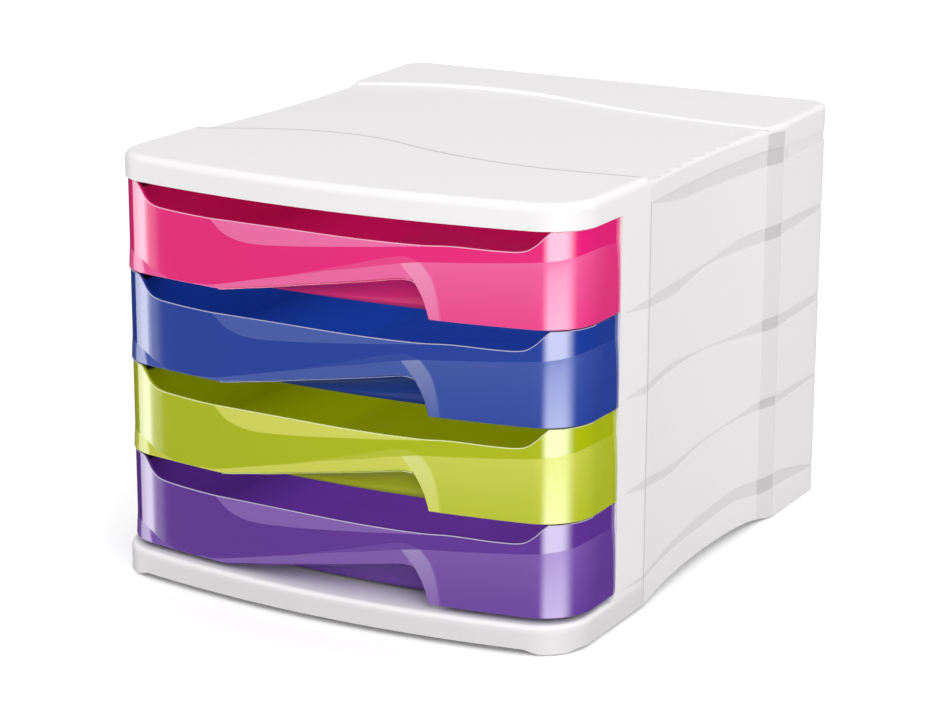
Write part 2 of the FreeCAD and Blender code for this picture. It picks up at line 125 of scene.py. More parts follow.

# Side walls: waisted, with a wider band behind a ramp, and shallow waves sunk across them.
# Shade is painted on the waves and on the ramp, and as a shadow under the roof's skirt.
# They are moulded in the casing's white ABS and turn the rear corners, and each has a sole
# under its rear foot.
# The walls' plan, thickness and sole in mm, from the middle of the tower
seam_y, back_y, half_seam, half_rear = -71.0, 177.0, 144.0, 145.0
waist_x, waist_y, ramp_x, ramp_y, band_y = 139.0, 8.4, 141.5, 90.2, 106.2
rear_radius, rear_return, side_wall, panel_top = 12.0, 4.0, 2.6, 226.8
sole_width, sole_length, sole_low, sole_high = 24, 44, 0.5, 3.0
drawer_pitch = 52.0
# How deep the waves are sunk, how much shade is painted on them and where they cross the
# ramp, and how much of the skirt's painted shadow stays behind the ramp
ribbon_sink, ribbon_painted_shade, crossing_painted_shade, rear_skirt_shadow_share = 0.4, 0.4, 1.0, 0.3
crease_deg = 8
ribbon_places = (-72, -30, 15, 60, 94, 112, 165)
# Upper and lower edge of each ribbon at those places, above the line between two drawers
ribbon_edges = (
    ((0.0, 0.2, 1.7, 6.0, 5.8, 7.0, 6.7), (-5.1, -6.9, -0.8, -1.2, -2.0, -0.9, 2.6)),
    ((5.1, 6.6, 3.9, 1.8, 2.7, 3.0, 3.4), (-0.3, 2.6, 3.0, -1.5, -4.7, -4.0, -1.8)),
    ((3.3, -0.3, 1.6, 3.1, 5.7, 5.5, 4.7), (-2.2, -5.6, -0.3, 1.0, -0.2, 0.0, 2.2)),
    ((0.1, 5.0, 8.6, 11.0, 8.2, 8.8, -1.4), (-3.0, 0.0, 1.0, 2.8, -1.0, -0.5, -3.8)),
)
# Lower edge of the painted shadow under the skirt there, above the panel's top
skirt_painted_shade = (-0.3, -6.6, -8.5, -9.3, -9.6, -9.2, -7.3)


def through(points):
    """A smooth height over length that passes through the points."""
    slopes = []
    for i in range(len(points)):
        a, b = points[max(i - 1, 0)], points[min(i + 1, len(points) - 1)]
        slopes.append((b[1] - a[1]) / (b[0] - a[0]))

    def height(x):
        if x <= points[0][0]:
            return points[0][1]
        for i in range(len(points) - 1):
            a, b = points[i], points[i + 1]
            if x <= b[0]:
                w = b[0] - a[0]
                t = (x - a[0]) / w
                return ((2 * t ** 3 - 3 * t ** 2 + 1) * a[1] + (t ** 3 - 2 * t ** 2 + t) * w * slopes[i]
                        + (3 * t ** 2 - 2 * t ** 3) * b[1] + (t ** 3 - t ** 2) * w * slopes[i + 1])
        return points[-1][1]
    return height


def circle_points(a, b, c, count):
    """Points of the arc from a through b to c, with both ends."""
    ax, ay, bx, by = b[0] - a[0], b[1] - a[1], c[0] - a[0], c[1] - a[1]
    det = 2 * (ax * by - ay * bx)
    ux = (by * (ax * ax + ay * ay) - ay * (bx * bx + by * by)) / det
    uy = (ax * (bx * bx + by * by) - bx * (ax * ax + ay * ay)) / det
    centre = (a[0] + ux, a[1] + uy)
    radius = math.hypot(ux, uy)
    start = math.atan2(a[1] - centre[1], a[0] - centre[0])
    turn = math.remainder(math.atan2(c[1] - centre[1], c[0] - centre[0]) - start, 2 * math.pi)
    return [(centre[0] + radius * math.cos(start + turn * i / count),
             centre[1] + radius * math.sin(start + turn * i / count)) for i in range(count + 1)]


def finish_piece(bm, name, sharp_deg=None):
    """Makes an object of a bmesh, creased where it bends by more than sharp_deg."""
    mesh = bpy.data.meshes.new(name)
    bm.normal_update()
    bm.to_mesh(mesh)
    bm.free()
    if sharp_deg:
        mesh.set_sharp_from_angle(angle=math.radians(sharp_deg))
    obj = bpy.data.objects.new(name, mesh)
    bpy.context.scene.collection.objects.link(obj)
    return obj


side_bottom = through([(-72, 1.5), (-27, 4.5), (29, 5.5), (76, 4.3), (106, 0.5), (167, 0.5),
                       (174, 3.4), (177, 10.5)])
ribbon_curves = [(through(list(zip(ribbon_places, lower))), through(list(zip(ribbon_places, upper))))
                 for upper, lower in ribbon_edges]
skirt_curve = through(list(zip(ribbon_places, skirt_painted_shade)))


def side_plan():
    """The outer outline of a right side wall from the seam round the rear corner."""
    points = circle_points((half_seam, seam_y), (waist_x, waist_y), (ramp_x, ramp_y), 40)
    points += [(ramp_x + (half_rear - ramp_x) * k / 4, ramp_y + (band_y - ramp_y) * k / 4)
               for k in range(1, 5)]
    centre_x, centre_y = half_rear - rear_radius, back_y - rear_radius
    points += [(half_rear, band_y + (centre_y - band_y) * k / 8) for k in range(1, 9)]
    for k in range(1, 17):
        turn = math.pi / 2 * k / 16
        points.append((centre_x + rear_radius * math.cos(turn), centre_y + rear_radius * math.sin(turn)))
    return points + [(centre_x - rear_return, back_y)]


def side_rows(y):
    """Heights up the wall at a place, each with its sink and how much shade is painted above it."""
    bands = []
    for i, (lower, upper) in enumerate(ribbon_curves):
        line_z = panel_top - drawer_pitch * (i + 1)
        bands.append((line_z + lower(y), line_z + upper(y)))
    bands = bands[::-1] + [(panel_top + skirt_curve(y), panel_top)]
    rows = []
    start = side_bottom(y)
    for low, high in bands:
        rows += [(start + (low - start) * k / 3, 0.0, 0.0) for k in range(4)]
        rows += [(low, ribbon_sink, 1.0), ((low + high) / 2, ribbon_sink, 1.0), (high, ribbon_sink, 0.0)]
        start = high
    return rows


def build_side_wall(name, side):
    """The wall as a shell: an outer face of bands, a plain inner face and closed rims."""
    bm = bmesh.new()
    layer = bm.loops.layers.float.new("satin_and_painted_light")

    def vert(x, y, z):
        return bm.verts.new((side * x * mm, y * mm, z * mm))

    def face(verts, tone):
        made = bm.faces.new(verts if side > 0 else verts[::-1])
        made.smooth = True
        for loop in made.loops:
            loop[layer] = tone

    outline = side_plan()
    outer, inner, tones = [], [], []
    for i, (x, y) in enumerate(outline):
        before, after = outline[max(i - 1, 0)], outline[min(i + 1, len(outline) - 1)]
        run = math.hypot(after[0] - before[0], after[1] - before[1])
        nx, ny = (after[1] - before[1]) / run, (before[0] - after[0]) / run
        rows = side_rows(y)
        outer.append([vert(x - nx * sink, y - ny * sink, z) for z, sink, _ in rows])
        inner.append([vert(x - nx * side_wall, y - ny * side_wall, z) for z in (rows[0][0], panel_top)])
        # The waves' painted shade fades out round the rear corner, and the skirt's painted shadow
        # is fainter behind the ramp
        fade = min(1, (back_y - y) / rear_radius)
        column = [tone * fade for _, _, tone in rows]
        if y > band_y:
            column[-3:] = [rear_skirt_shadow_share * tone for tone in column[-3:]]
        tones.append(column)
    for i in range(len(outline) - 1):
        near, far = outer[i], outer[i + 1]
        on_ramp = ramp_y - 0.1 < outline[i][1] < band_y - 0.1
        for k in range(len(near) - 1):
            tone = ribbon_painted_shade * (tones[i][k] + tones[i + 1][k]) / 2
            # The ramp is painted with shade, darkest where a wave crosses it
            if on_ramp:
                tone = crossing_painted_shade if tones[i][k] > 0.5 else ribbon_painted_shade
            face([near[k], far[k], far[k + 1], near[k + 1]], tone)
        face([inner[i][1], inner[i + 1][1], inner[i + 1][0], inner[i][0]], 0)
        face([near[0], inner[i][0], inner[i + 1][0], far[0]], 0)
        face([near[-1], far[-1], inner[i + 1][1], inner[i][1]], 0)
    face(outer[0] + inner[0][::-1], 0)
    face((outer[-1] + inner[-1][::-1])[::-1], 0)
    # The sole under the rear foot is a box
    corners = [vert(x, y, z) for z in (sole_low, sole_high) for y in (band_y, band_y + sole_length)
               for x in (half_rear - side_wall - sole_width, half_rear - side_wall / 2)]
    for ring in ((0, 2, 3, 1), (4, 5, 7, 6), (0, 1, 5, 4), (2, 6, 7, 3), (0, 4, 6, 2), (1, 3, 7, 5)):
        face([corners[k] for k in ring], 0)
    return finish_piece(bm, name, crease_deg)


for side, label in ((1, "right"), (-1, "left")):
    wall = build_side_wall(label + "_waved_side_wall", side)
    dress(wall, white_abs)
    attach(wall, "casing")
    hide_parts(label + "_side_panel")

# Trim of the casing, all of it part of the same mouldings, laid on as thin skins: painted
# shade where the waves run out on the posts and in the seams of the side walls, a block of
# painted shade on the roof's skirt, a painted shadow in the fine gap behind the visor's wave,
# and a painted highlight on the round of the roof's step.
skin = 0.06
post_start, post_end, tip_height = -100.0, seam_y - 0.8, 0.1
# Where each wave ends on the post, above the line between two drawers
wave_tips = (-1.5, 3.0, 2.1, 0.2)
wall_seam_y, wall_seam_z = (-71.9, -70.9), (3, 60, 120, 180, 226)
skirt_block_z, skirt_block_painted_shade = (226.9, 230, 233, 236), 0.8


def build_skin(name, strips, tone):
    """Thin skins on the casing, painted with as much shade as tone says: each strip is a list of rows of
    points in mm.
    """
    bm = bmesh.new()
    layer = bm.loops.layers.float.new("satin_and_painted_light")
    for rows in strips:
        made = [[bm.verts.new([c * mm for c in point]) for point in row] for row in rows]
        for a, b in zip(made, made[1:]):
            for k in range(len(a) - 1):
                face = bm.faces.new([a[k], b[k], b[k + 1], a[k + 1]])
                face.smooth = True
                for loop in face.loops:
                    loop[layer] = tone
    piece = finish_piece(bm, name, crease_deg)
    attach(piece, "casing")
    return piece


for side, label in ((1, "right"), (-1, "left")):
    # A row's points go up on the right and down on the left, so that all faces look out
    x = side * (half_seam + skin)
    wave_ends = []
    for i, tip in enumerate(wave_tips):
        line_z = panel_top - drawer_pitch * (i + 1)
        upper, lower = ribbon_edges[i][0][0], ribbon_edges[i][1][0]
        rows = []
        for k in range(9):
            w = k / 8
            low = line_z + tip + (lower - tip) * w
            high = line_z + tip + (upper - tip) * w + tip_height
            y = post_start + (post_end - post_start) * w
            rows.append([(x, y, low + (high - low) * j / 2) for j in range(3)][::side])
        wave_ends.append(rows)
    # Shade is painted where the waves run out on the post
    dress(build_skin(label + "_post_wave_ends_painted_shade", wave_ends, ribbon_painted_shade), white_abs)
    # Shade is painted in the seam between the post and the side wall
    seam = [[(x, y, z) for z in wall_seam_z][::side] for y in wall_seam_y]
    dress(build_skin(label + "_wall_seam_painted_shade", [seam], 1.0), white_abs)
    # A block of shade is painted on the roof's skirt where it crosses the ramp
    block = []
    for k in range(5):
        out = ramp_x + (half_rear - ramp_x) * k / 4 + skin
        y = ramp_y + (band_y - ramp_y) * k / 4
        block.append([(side * out, y, z) for z in skirt_block_z][::side])
    dress(build_skin(label + "_skirt_painted_shade", [block], skirt_block_painted_shade), white_abs)

# The visor's rear edge from the right: a line, three arcs and a line
visor_z, gap_from, gap_to = 241.0, -1.4, -0.1
visor_wave = [(89.3, -79.9), (41.8, -76.1), (-10.1, -60.3), (-60.5, -49.6), (-100.8, -59.2),
              (-115.2, -65.8), (-134.6, -75.8)]
wave_line = [(140.0, -74.8)]
for start in (0, 2, 4):
    wave_line += circle_points(*visor_wave[start:start + 3], 16)[(start > 0):]
wave_line.append((-140.0, -76.4))
# A strip of painted shadow lies in the fine gap behind the visor's wave
gap_rows = [[(x, y + off, visor_z + skin) for off in (gap_from, gap_to)] for x, y in wave_line]
dress(build_skin("visor_rear_gap_painted_shadow", [gap_rows], 1.0), white_abs)

# The roof's step is two arcs
step_points = [(-162.4, 82.5), (-81.2, 120.8), (0.0, 115.1), (69.6, 97.4), (162.4, 91.2)]
step_line = circle_points(*step_points[:3], 24) + circle_points(*step_points[2:], 24)[1:]
mid_roof, rear_top, rear_slope, step_half = 238.6, 242.0, 2.0 / 70.8, 142.5
# Places across the round: distance behind the line, share of the rise, and lift
step_profile = ((-1.8, 0.0, skin), (-0.9, 0.35, 0.0), (0.0, 1.0, -0.1), (1.0, 1.0, 0.07))
step_rows = []
for x, y in step_line:
    if abs(x) < step_half:
        rise = rear_top - rear_slope * (back_y - y) - mid_roof
        step_rows.append([(x, y + behind, mid_roof + rise * share + lift)
                          for behind, share, lift in step_profile])
# The same ABS, smoother on the step's round, with a whiter colour painted on as a highlight
painted_highlight_abs = moulded_plastic("white_abs_painted_highlight", "#F6F5F6", "#F4F3F4", 0.2, 0.6, 0.005, 0.15)
dress(build_skin("roof_step_painted_highlight", [step_rows], 0.0), painted_highlight_abs)

# Runner racks: one plate a side with runners for the trays, moulded in natural
# polypropylene, which is matte and a little waxy, and clipped inside the side walls.
white_pp = moulded_plastic("natural_polypropylene", "#D8D6D4", "#D2D0CE", 0.5, 0.8, 0.01, 0.4)
for name in ("left_runner_rack", "right_runner_rack"):
    dress(nodes[name], white_pp)

# Foot pads: small squares of grey elastomer, pressed into seats under the feet. It is soft
# and grips, so it looks dull.
grey_tpe = moulded_plastic("grey_elastomer", "#8E8E90", "#828284", 0.7, 0.4, 0.02, 0.3)
for name in nodes:
    if name.endswith("foot_pad"):
        dress(nodes[name], grey_tpe)

# Trays and drawer fronts: polystyrene coloured through and moulded in polished steel. Each
# tray is a box that slides in its rack, and each front is a thin bowed shell clipped onto
# it, with a wavy lip, sloping facets and an arch for the fingers.
streak_length, streak_height = 40 * mm, 8 * mm
painted_rim_highlight = 0.38


def gloss_polystyrene(name, colour, painted_reflection_colour):
    """Glossy coloured plastic. An attribute, 0 to 1, says how satin a place is and how much reflection is
    painted on it.
    """
    material, tree = new_material(name)
    place = add(tree, "ShaderNodeTexCoord").outputs["Object"]
    painted_reflection_and_satin = add(tree, "ShaderNodeAttribute", attribute_name="painted_reflection_and_satin").outputs["Fac"]
    # Flow marks are soft level streaks
    streaks = add(tree, "ShaderNodeMapping", {
        "Vector": place, "Scale": (1, 1, streak_length / streak_height)}).outputs["Vector"]
    flow = add(tree, "ShaderNodeTexNoise", {"Vector": streaks, "Scale": 1 / streak_length, "Detail": 1.0})
    clouds = add(tree, "ShaderNodeMapRange", {
        "Value": flow.outputs["Fac"], "To Min": -0.04, "To Max": 0.04})
    share = add(tree, "ShaderNodeMath", {
        0: painted_reflection_and_satin, 1: clouds.outputs["Result"]}, operation="ADD", use_clamp=True)
    tone = add(tree, "ShaderNodeMix", {
        "Factor": share.outputs["Value"], "A": linear(colour), "B": linear(painted_reflection_colour)}, data_type="RGBA")
    # A facet above 1 is the rim of an edge, on which a highlight is painted towards white
    rim_highlight = add(tree, "ShaderNodeMapRange", {
        "Value": painted_reflection_and_satin, "From Min": 1.0, "From Max": 2.0, "To Max": painted_rim_highlight})
    tone = add(tree, "ShaderNodeMix", {
        "Factor": rim_highlight.outputs["Result"], "A": tone.outputs["Result"], "B": linear("#FFFFFF")},
        data_type="RGBA")
    bump = add(tree, "ShaderNodeBump", {
        "Height": flow.outputs["Fac"], "Strength": 0.1, "Distance": 0.01 * mm})
    # Polished steel gives a sharp gloss, and the etched facets a weak and blurred one
    polished = add(tree, "ShaderNodeBsdfPrincipled", {
        "Base Color": tone.outputs["Result"], "Roughness": 0.06,
        "Normal": bump.outputs["Normal"], "Specular IOR Level": 0.6})
    satin_and_painted_light = add(tree, "ShaderNodeBsdfPrincipled", {
        "Base Color": tone.outputs["Result"], "Roughness": 0.3,
        "Normal": bump.outputs["Normal"], "Specular IOR Level": 0.18})
    skin_mix = add(tree, "ShaderNodeMixShader", {
        "Fac": painted_reflection_and_satin, 1: polished.outputs["BSDF"], 2: satin_and_painted_light.outputs["BSDF"]})
    add(tree, "ShaderNodeOutputMaterial", {"Surface": skin_mix.outputs["Shader"]})
    return material


# The colour is in the plastic and the tool is polished, so the main face looks deep and
# glossy. The etched facets have a softer gloss, and a paler colour is painted on them as
# their reflection.
drawer_plastics = [
    gloss_polystyrene("pink_gloss_polystyrene", "#E21C76", "#E16AA0"),
    gloss_polystyrene("blue_gloss_polystyrene", "#163895", "#45599F"),
    gloss_polystyrene("green_gloss_polystyrene", "#A9B500", "#CACD5A"),
    gloss_polystyrene("purple_gloss_polystyrene", "#5B2E90", "#7F5EA8"),
]
for i, plastic in enumerate(drawer_plastics):
    dress(nodes["drawer_%d_tray" % (i + 1)], plastic)

# Plan of the fronts: a bow between two corners, with a straight return behind each corner.
# Lengths along it are measured on the visor's outline, from the middle.
bow_radius, corner_radius, corner_x = 634.0, 30.0, 114.0
half_front, corner_y, crown_y = 144.0, -132.1, -173.0
bow_angle = math.asin(corner_x / (bow_radius - corner_radius))
bow_length = bow_radius * bow_angle
corner_length = corner_radius * (math.pi / 2 - bow_angle)
front_inset, front_wall, edge_round = 1.3, 2.4, 0.4


def plan(along, inset):
    """The point of the plan at a length from the middle, set in by inset, and its normal."""
    side = math.copysign(1, along)
    reach = abs(along)
    if reach <= bow_length:
        angle = along / bow_radius
        centre, radius = (0, crown_y + bow_radius), bow_radius
    elif reach <= bow_length + corner_length:
        angle = side * (bow_angle + (reach - bow_length) / corner_radius)
        centre, radius = (side * corner_x, corner_y), corner_radius
    else:
        beyond = reach - bow_length - corner_length
        return (side * (half_front - inset), corner_y + beyond), (side, 0)
    normal = (math.sin(angle), -math.cos(angle))
    return (centre[0] + (radius - inset) * normal[0], centre[1] + (radius - inset) * normal[1]), normal


# Lines of a front in mm: length along the plan, height below the front's upper edge
full_length, front_height, front_top = 187.8, 51.2, 226.4
lens_start, lens_end, zone_start, zone_end, arch_start = -71, 60, -20, 60, -69
lip = through([
    (-127.5, 0), (-125.5, -1), (-122.6, -4), (-120.2, -7), (-116.4, -10.2), (-111, -11.8),
    (-103, -12.4), (-90, -12.8), (-72, -13), (-23, -12.5), (23, -12.7), (60, -12.3), (77, -11.3),
    (105, -11.5), (117, -10.5), (123.6, -6.7), (128.8, -1.9), (131.3, 0)])
lens = through([(lens_start, -13.6), (-69, -15.2), (-61.6, -20.2), (-47.4, -23.2), (-24, -22),
                (23, -17), (lens_end, -12.9)])
crease = through([
    (-188, -36), (-138.5, -39.7), (-123.5, -42.8), (-115, -47), (-107, -49.6), (-95, -50.3),
    (-82, -50.4), (-72, -49.7), (-62, -47.6), (-50, -44.7), (-36.6, -41.5), (-14, -36.3),
    (8, -31.2), (24, -28.2), (36, -25.5), (48.6, -23.1), (59, -21.5), (77, -20), (104, -17.8),
    (125, -15.9), (135.5, -14.9), (143.6, -13.9), (159, -12.1), (188, -13.3)])
contour = through([(zone_start, -37.7), (-14, -35.9), (17.6, -27.2), (38, -21.5), (50, -19.2),
                   (56, -20.1), (zone_end, -21.9)])
arch = through([
    (arch_start, -51.3), (-62, -50.2), (-47.8, -47.6), (-34, -45.3), (-14, -41.5), (6.8, -37.9),
    (35.5, -33), (48.5, -30.8), (54.5, -31.1), (57, -32.3), (58, -33.7)])
stripe_left = [(48.6, -23.1), (53.2, -28), (58, -33.7), (61.9, -40.7), (64.9, -49.4), (65.3, -51.2)]
stripe_right = [(58.8, -21.5), (65, -28.4), (68.6, -38), (70.3, -47.9), (70.6, -51.2)]
stripe_left_at = through([(-z, s) for s, z in stripe_left])
stripe_right_at = through([(-z, s) for s, z in stripe_right])
stripe_start, stripe_end, arch_corner = stripe_left[0][0], stripe_right[0][0], stripe_left[2][0]
# Least heights of a patch of the face
band_least, gap_least = 0.6, 0.3


def top_line(s):
    return lip(s) - edge_round


def lens_line(s):
    """The lower edge of the lens, the facet under the lip."""
    low = lens(s) if lens_start < s < lens_end else 0
    return min(low, top_line(s) - band_least)


def crease_line(s):
    """The upper edge of the bevel over the arch and of the flank beside it."""
    return max(min(crease(s), lens_line(s) - band_least), edge_round - front_height + gap_least)


def contour_line(s):
    """The upper edge of the faint zone over the bevel, which is the crease elsewhere."""
    high = contour(s) if zone_start < s < zone_end else crease_line(s)
    return min(max(high, crease_line(s)), lens_line(s) - gap_least)


def steps(*stops):
    """Lengths along the plan: from each stop to the next in steps of about the given size."""
    out = []
    for (a, size), (b, _) in zip(stops, stops[1:]):
        n = max(1, round((b - a) / size))
        out += [a + (b - a) * i / n for i in range(n)]
    return out + [stops[-1][0]]


# Slope of the lens, the length over which it starts, and slope and height of the flare
lens_lean, lens_fade, flare_slope, flare_most = 0.1, 3, 0.1, 1.1


def relief(s, z):
    """How far the face stands out: the lens leans back, and below the crease it flares out."""
    low = lens_line(s)
    if z > low:
        ends = min(1, max(0, (s - lens_start) / lens_fade)) * min(1, max(0, (lens_end - s) / lens_fade))
        return -lens_lean * (z - low) * ends
    drop = crease_line(s) - z
    return flare_most * (1 - math.exp(-flare_slope * drop / flare_most)) if drop > 0 else 0


# Where the bevel's columns start to lean towards the stripe, and counts of rows and columns
bevel_turn, bevel_rows, foot_rows, stripe_cols = -67, 6, 10, 8


def front_grid():
    """Rows of (length, height) points of each patch of the face, from the top down."""
    patches = []
    # Columns are close where the lines bend
    cols = steps((edge_round - full_length, 5), (-162, 1.8), (-124, 0.8), (-101, 3), (-76, 1), (-56, 3),
                 (48, 1), (66, 3), (99, 0.9), (134, 1.8), (162, 5), (full_length - edge_round, 5))
    for kind, upper, lower, count in (
            ("lens", top_line, lens_line, 5), ("face", lens_line, contour_line, 6),
            ("zone", contour_line, crease_line, 2)):
        patches.append((kind, [[(s, upper(s) + (lower(s) - upper(s)) * j / count) for s in cols]
                               for j in range(count + 1)]))
    # Left and middle part below the crease. Its right end follows the stripe's left edge.
    low = edge_round - front_height
    left = [s for s in cols if s < stripe_start - 0.5] + [stripe_start]
    rows = []
    for j in range(bevel_rows + 1):
        t = j / bevel_rows
        row = []
        for s in left:
            turned = max(0, (s - bevel_turn) / (stripe_start - bevel_turn)) ** 1.5
            shift = turned * (arch_corner - stripe_start)
            foot = max(low, arch(s + shift) + edge_round) if s + shift > arch_start else low
            z = crease_line(s) + (min(foot, crease_line(s) - gap_least) - crease_line(s)) * t
            row.append((stripe_left_at(-z) if s == stripe_start else s + shift * t, z))
        rows.append(row)
    patches.append(("bevel", rows))
    # The stripe's left edge runs beside the bevel, and then beside the open arch
    edge = [row[-1] for row in rows]
    top, last = edge[0][1], edge[-1][1]
    for j in range(1, foot_rows + 1):
        z = last + (low - last) * j / foot_rows
        edge.append((stripe_left_at(-z), z))
    # Right part: the stripe, then the flank and the return
    right = [s for s in cols if s > stripe_end + 1.2]
    rows = []
    for s0, z0 in edge:
        share = (z0 - top) / (low - top)
        row = [(s0, z0)]
        for k in range(1, stripe_cols + 1):
            s = stripe_start + (stripe_end - stripe_start) * k / stripe_cols
            z = crease_line(s) + (low - crease_line(s)) * share
            a, b = stripe_left_at(-z), stripe_right_at(-z)
            row.append((a + (b - a) * k / stripe_cols, z))
        for s in right:
            z = crease_line(s) + (low - crease_line(s)) * share
            far = (full_length - s) / (full_length - stripe_end)
            row.append((s + (stripe_right_at(-z) - stripe_end) * max(0, far) ** 3, z))
        rows.append(row)
    patches.append(("flank", rows))
    return patches


# How satin each facet is, and how much reflection is painted on it: the stripe beside the
# arch also gets a painted highlight as light as a thin rim
lens_facet, zone_facet, stripe_facet, flank_facet, flank_least = 0.95, 0.3, 1.35, 0.7, 0.15
bevel_facet, bevel_from, left_facet, left_to = 0.85, -84, 0.5, -104
flank_fade_from, flank_fade_length, flank_fade_least = 141, 45, 0.2
stripe_fall, flank_fall = 0.01, 0.012


def facet_of(kind, s, z):
    """How satin the tool is at a place, and how much reflection is painted there. It fades down the
    stripe and the flank.
    """
    if kind == "lens":
        return lens_facet if lens_start < s < lens_end else 0
    if kind == "face":
        return 0
    if kind == "zone":
        return zone_facet
    if kind == "bevel":
        if s > bevel_from:
            return bevel_facet
        return left_facet if s < left_to else 0
    drop = crease_line(s) - z
    a, b = stripe_left_at(-z), stripe_right_at(-z)
    if (s - a) / (b - a) <= 1.02 and s < 76:
        return stripe_facet - stripe_fall * drop
    round_corner = 1
    if s >= flank_fade_from:
        round_corner = max(flank_fade_least, 1 - (s - flank_fade_from) / flank_fade_length)
    return max(flank_least, (flank_facet - flank_fall * drop) * round_corner)


# Across the rounded rim: share of the rounding, and depth behind the face
rim_profile = ((0.7, 0.12), (1.0, 0.4), (1.0, front_wall - 0.4), (0.7, front_wall - 0.12))
# How much light is painted on the rim: the lip most, then the other edges, and not the returns' ends
lip_rim, edge_rim, lip_low, lip_end, rim_end = 2, 1, -15, 165, 180


def build_front(name, drop):
    """A front as a shell: a face in patches, the inside behind it, and a rim all round."""
    bm = bmesh.new()
    layer = bm.loops.layers.float.new("painted_reflection_and_satin")
    found = {}

    def vert(s, z, inset, out):
        (x, y), (nx, ny) = plan(s, front_inset + inset)
        return bm.verts.new(((x + nx * out) * mm, (y + ny * out) * mm, (front_top + z - drop) * mm))

    def corner(s, z, inset):
        key = (round(s, 2), round(z, 2), inset)
        if key not in found:
            found[key] = vert(s, z, inset, relief(s, z) if inset == 0 else 0)
        return found[key]

    sharp = set()
    for kind, rows in front_grid():
        for upper, lower in zip(rows, rows[1:]):
            for i in range(len(upper) - 1):
                quad = [upper[i], lower[i], lower[i + 1], upper[i + 1]]
                for inset in (0, front_wall):
                    verts = []
                    for s, z in (quad if inset == 0 else quad[::-1]):
                        v = corner(s, z, inset)
                        if v not in verts:
                            verts.append(v)
                    if len(verts) < 3 or bm.faces.get(verts):
                        continue
                    face = bm.faces.new(verts)
                    face.smooth = True
                    if inset == 0:
                        points = {corner(s, z, 0): (s, z) for s, z in quad}
                        for loop in face.loops:
                            # The tone is read just inside the quad, so that it ends at a line
                            s, z = points[loop.vert]
                            loop[layer] = facet_of(kind, s * 0.999 + quad[0][0] * 0.001, z)
        lines = [rows[0], rows[-1]]
        if kind == "flank":
            lines += [[row[k] for row in rows] for k in (0, stripe_cols)]
        for line in lines:
            sharp.update(frozenset((corner(*a, 0), corner(*b, 0))) for a, b in zip(line, line[1:]))
    # A rounded rim joins the face to the inside all round
    places = {v: key for key, v in found.items()}
    outer_edges = [e for e in bm.edges if e.is_boundary and all(places[v][2] == 0 for v in e.verts)]
    push = {}
    for edge in outer_edges:
        loop = edge.link_loops[0]
        a, b = places[loop.vert], places[loop.link_loop_next.vert]
        ds, dz = b[0] - a[0], b[1] - a[1]
        size = math.hypot(ds, dz) or 1
        # The face lies to the left of each loop edge, so the outside is to its right
        for v in edge.verts:
            px, pz = push.get(v, (0, 0))
            push[v] = (px + dz / size, pz - ds / size)
    rings = {}
    for v, (ps, pz) in push.items():
        s, z, _ = places[v]
        size = math.hypot(ps, pz) or 1
        out = relief(s, z)
        rings[v] = [v]
        for share, inset in rim_profile:
            rings[v].append(vert(s + ps / size * edge_round * share, z + pz / size * edge_round * share,
                                 inset, out * (1 - inset / front_wall)))
        rings[v].append(found[(s, z, front_wall)])
    for edge in outer_edges:
        loop = edge.link_loops[0]
        a, b = rings[loop.vert], rings[loop.link_loop_next.vert]
        s, z, _ = places[edge.verts[0]]
        rim = lip_rim if z > lip_low and abs(s) < lip_end else edge_rim
        for k in range(len(a) - 1):
            quad = [b[k], a[k], a[k + 1], b[k + 1]]
            if len(set(quad)) == 4 and not bm.faces.get(quad):
                face = bm.faces.new(quad)
                face.smooth = True
                for rim_loop in face.loops:
                    rim_loop[layer] = rim if k < 2 and abs(s) < rim_end else 0
    for edge in bm.edges:
        if frozenset(edge.verts) in sharp and len(edge.link_faces) == 2:
            edge.smooth = False
    return finish_piece(bm, name)


for i, plastic in enumerate(drawer_plastics):
    front = build_front("drawer_%d_moulded_front" % (i + 1), drawer_pitch * i)
    dress(front, plastic)
    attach(front, "drawer_%d" % (i + 1))
    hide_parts("drawer_%d_front" % (i + 1))

# Finger niches: behind each arch a scooped cup, moulded with the front, gives the finger
# tips a hold. It runs back from the arch's edge and turns down to the front's lower edge.
niche_depth, niche_wall, niche_inset, niche_gap, niche_rows, niche_painted_light_and_satin = 19.5, 1.2, 0.6, 0.35, 12, 0.3


def build_niche(name, drop):
    """A scoop of even depth behind the edge of the arch and the left edge of the stripe."""
    bm = bmesh.new()
    layer = bm.loops.layers.float.new("painted_reflection_and_satin")
    low = -front_height
    line = [(s, arch(s) + niche_gap) for s in steps((-67, 2), (50, 1), (arch_corner, 1))]
    line += [(stripe_left_at(-z), z) for z in steps((-50.8, 1.5), (-34.5, 1.5))[::-1]]
    rows = []
    for s, z in line:
        (x, y), _ = plan(s, front_inset + niche_inset)
        row = []
        for k in range(niche_rows + 1):
            turn = math.pi / 2 * k / niche_rows
            row.append(bm.verts.new((x * mm, (y + niche_depth * math.sin(turn)) * mm,
                                     (front_top - drop + low + (z - low) * math.cos(turn)) * mm)))
        rows.append(row)
    for a, b in zip(rows, rows[1:]):
        for k in range(niche_rows):
            face = bm.faces.new([a[k], a[k + 1], b[k + 1], b[k]])
            face.smooth = True
            for loop in face.loops:
                # The scoop is painted paler towards its bottom, where it faces up to the light
                loop[layer] = niche_painted_light_and_satin * (k / niche_rows) ** 1.5
    obj = finish_piece(bm, name)
    thick = obj.modifiers.new("wall", "SOLIDIFY")
    thick.thickness, thick.offset = niche_wall * mm, 1
    return obj


for i, plastic in enumerate(drawer_plastics):
    niche = build_niche("drawer_%d_finger_niche" % (i + 1), drawer_pitch * i)
    dress(niche, plastic)
    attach(niche, "drawer_%d" % (i + 1))

